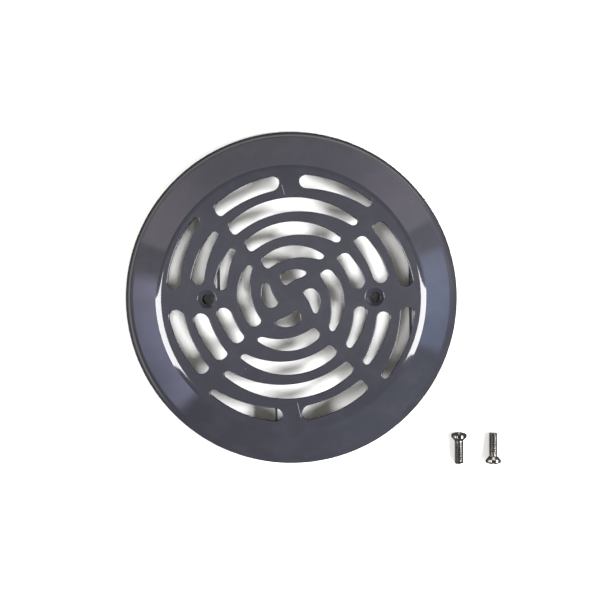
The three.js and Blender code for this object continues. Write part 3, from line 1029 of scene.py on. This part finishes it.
# What stands round the room: its middle's bearing, half its width and the softness of its
# sides; its lower and upper elevation and their softness; its radiance; whether it is uneven.
# All angles are in degrees.
ROOM_PATCHES = [
    (-2.5, 19.5, 5, 23, 37, 9, (1.25, 1.6, 2.7), True),      # blue light on the right
    (198, 26, 7, 23, 38, 9, (2.3, 2.4, 3.6), True),          # and on the left
    (94, 66, 3, 12, 52, 6, (0.98, 0.88, 0.98), False),       # wall behind
    (28, 28, 30, 12, 52, 6, (0.75, 0.68, 0.75), False),      # and its two ends
    (160, 26, 30, 12, 52, 6, (0.75, 0.68, 0.75), False),
    (125, 92, 14, -8, 8, 5, (2.1, 2.0, 1.7), False),         # its foot, in the light
    (40, 45, 30, -8, 16, 8, (0.5, 0.46, 0.4), False),
    (-24, 54, 14, 12, 60, 14, (0.06, 0.15, 0.16), False),    # wall on the right
]


def make_floor():
    mesh = bpy.data.meshes.new("floor")
    half = FLOOR_HALF
    mesh.from_pydata([(-half, -half, FLOOR_Z), (half, -half, FLOOR_Z), (half, half, FLOOR_Z),
                      (-half, half, FLOOR_Z)], [], [(0, 1, 2, 3)])
    material, tree, shader = new_material("floor_white")
    # To glossy rays the floor is nearly black: painted shade in what the cover and screws reflect.
    # To all other rays it is white.
    mirrored = tree.nodes.new("ShaderNodeLightPath").outputs["Is Glossy Ray"]
    colour = blend(tree, mirrored, (0.9, 0.9, 0.9, 1), (0.045, 0.044, 0.042, 1))
    tree.links.new(colour, shader.inputs["Base Color"])
    shader.inputs["Roughness"].default_value = 0.8
    shader.inputs["Specular IOR Level"].default_value = 0
    piece("floor", mesh, material)


def area_light(name, middle, facing, size, brightness):
    """A rectangular light of a width and a height. Brightness is its radiance."""
    light = bpy.data.lights.new(name, "AREA")
    light.shape = "RECTANGLE"
    light.size, light.size_y = size
    light.energy = brightness * pi * size[0] * size[1]
    side = Vector((0, 0, 1)).cross(facing).normalized()
    turn = Matrix((side, facing.cross(side), facing)).transposed().to_4x4()
    lamp = bpy.data.objects.new(name, light)
    lamp.matrix_world = Matrix.Translation(middle) @ turn
    lamp.visible_camera = False
    bpy.context.scene.collection.objects.link(lamp)
    return lamp


def mirrored_window(name, bearing, foot, head, width, brightness, seen_in):
    """A window that shows only in the gloss, its foot and head at (distance, height)."""
    out = Vector((cos(radians(bearing)), sin(radians(bearing)), 0))
    ends = [out * distance + Vector((0, 0, height)) for distance, height in (foot, head)]
    rise = ends[1] - ends[0]
    side = Vector((0, 0, 1)).cross(out)
    lamp = area_light(name, (ends[0] + ends[1]) / 2, side.cross(rise).normalized(),
                      (width, rise.length), brightness)
    lamp.visible_diffuse = False
    lamp.light_linking.receiver_collection = seen_in
    return lamp


def key_light(name, bearing, elevation, width, height, brightness):
    """A soft light on the floor and in the plastic's own colour, not seen in any gloss."""
    bearing, elevation = radians(bearing), radians(elevation)
    out = Vector((cos(bearing) * cos(elevation), sin(bearing) * cos(elevation), sin(elevation)))
    lamp = area_light(name, out * 1.2, out, (width, height), brightness)
    lamp.visible_glossy = False
    return lamp


def band(tree, value, low, high, soft):
    """1 where a value lies between two limits, falling to 0 over a soft edge."""
    edges = (smooth_step(tree, value, limit - soft / 2, limit + soft / 2) for limit in (low, high))
    return calc(tree, "SUBTRACT", *edges)


def make_surroundings():
    """The dim room that the gloss mirrors, and a pale backdrop for the camera."""
    world = bpy.data.worlds.new("studio")
    world.use_nodes = True
    bpy.context.scene.world = world
    tree = world.node_tree
    tree.nodes.clear()
    towards = tree.nodes.new("ShaderNodeTexCoord").outputs["Generated"]
    _, y, z = split(tree, towards)
    height = calc(tree, "DEGREES", calc(tree, "ARCSINE", z))
    blotch = calc(tree, "MULTIPLY_ADD", noise(tree, towards, 3.4), 1.3, 0.35)

    total = scaled(tree, ROOM_LIGHT, band(tree, height, 8, 130, 40))
    for middle, half, soft, low, high, fade, colour, blotched in ROOM_PATCHES:
        ahead, beside, _ = split(tree, rotated(tree, towards, radians(-middle)))
        off = calc(tree, "DEGREES", calc(tree, "ARCTAN2", beside, ahead))
        mask = calc(tree, "MULTIPLY", band(tree, off, -half, half, soft),
                    band(tree, height, low, high, fade))
        if blotched:
            mask = calc(tree, "MULTIPLY", mask, blotch)
        total = vector(tree, "ADD", total, scaled(tree, colour, mask))
    overhead = band(tree, height, 60, 120, 30)
    strip = smooth_step(tree, calc(tree, "ABSOLUTE", y), 0.02, 0.09, 0.5, 0.03)
    ceiling = scaled(tree, (1.0, 1.0, 1.04), calc(tree, "MULTIPLY", overhead, strip))
    total = vector(tree, "ADD", total, ceiling)

    rays = tree.nodes.new("ShaderNodeLightPath").outputs
    lit = blend(tree, rays["Is Glossy Ray"], (*AMBIENT_LIGHT, 1), total)
    shown = blend(tree, rays["Is Camera Ray"], lit, (0.95, 0.95, 0.95, 1))
    background = add(tree, "ShaderNodeBackground", {"Color": shown}).outputs[0]
    output = tree.nodes.new("ShaderNodeOutputWorld")
    tree.links.new(background, output.inputs["Surface"])


def make_lights():
    """The lights, and the collections of what mirrors the windows in plastic and in steel."""
    plastic, steel = (bpy.data.collections.new(f"glossy_{name}") for name in ("plastic", "steel"))
    foot, head = (1.0, 0.58), (0.6, 3.1)
    mirrored_window("right_window", -12, foot, head, 0.52, 21, plastic)
    mirrored_window("left_window", 195, foot, head, 0.52, 21, plastic)
    mirrored_window("right_strip", -15, (1.0, 0.73), (1.0, 1.0), 1.5, 24, steel)
    mirrored_window("left_strip", 190, (1.0, 1.5), (1.0, 1.8), 1.3, 7, steel)
    key_light("right_key", -10, 43, 0.42, 0.26, 78)
    key_light("left_key", 192, 42, 0.42, 0.26, 44)
    key_light("front_fill", -50, 32, 0.7, 0.5, 7)
    make_surroundings()
    return plastic, steel


def make_camera():
    """The view from straight above, a little to the right of the cover's middle."""
    data = bpy.data.cameras.new("camera")
    data.lens = 89.5
    data.sensor_width = 36
    camera = bpy.data.objects.new("camera", data)
    camera.location = (0.01679, 0.01378, 0.900)
    turn = Matrix.Rotation(radians(0.747), 3, "Z") @ Matrix.Rotation(radians(0.95), 3, "X")
    turn = turn @ Matrix.Rotation(radians(-0.711), 3, "Y")
    camera.rotation_euler = turn.transposed().to_euler()
    bpy.context.scene.collection.objects.link(camera)
    bpy.context.scene.camera = camera


# ---- the scene ----

TURNED = turned_tree()
SLOTTED_PLATE = slotted_plate_tree()

make_camera()
make_floor()
glossy_plastic, glossy_steel = make_lights()
bpy.context.scene.view_settings.view_transform = "Standard"

plastic = cover_plastic()
steel = stainless_steel()

cover = make_cover(plastic)
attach(cover, "cover")
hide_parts("grate_cover")
glossy_plastic.objects.link(cover)
for node, body, turn in LOOSE_SCREWS:
    glossy_steel.objects.link(make_screw(node, body, turn, steel))
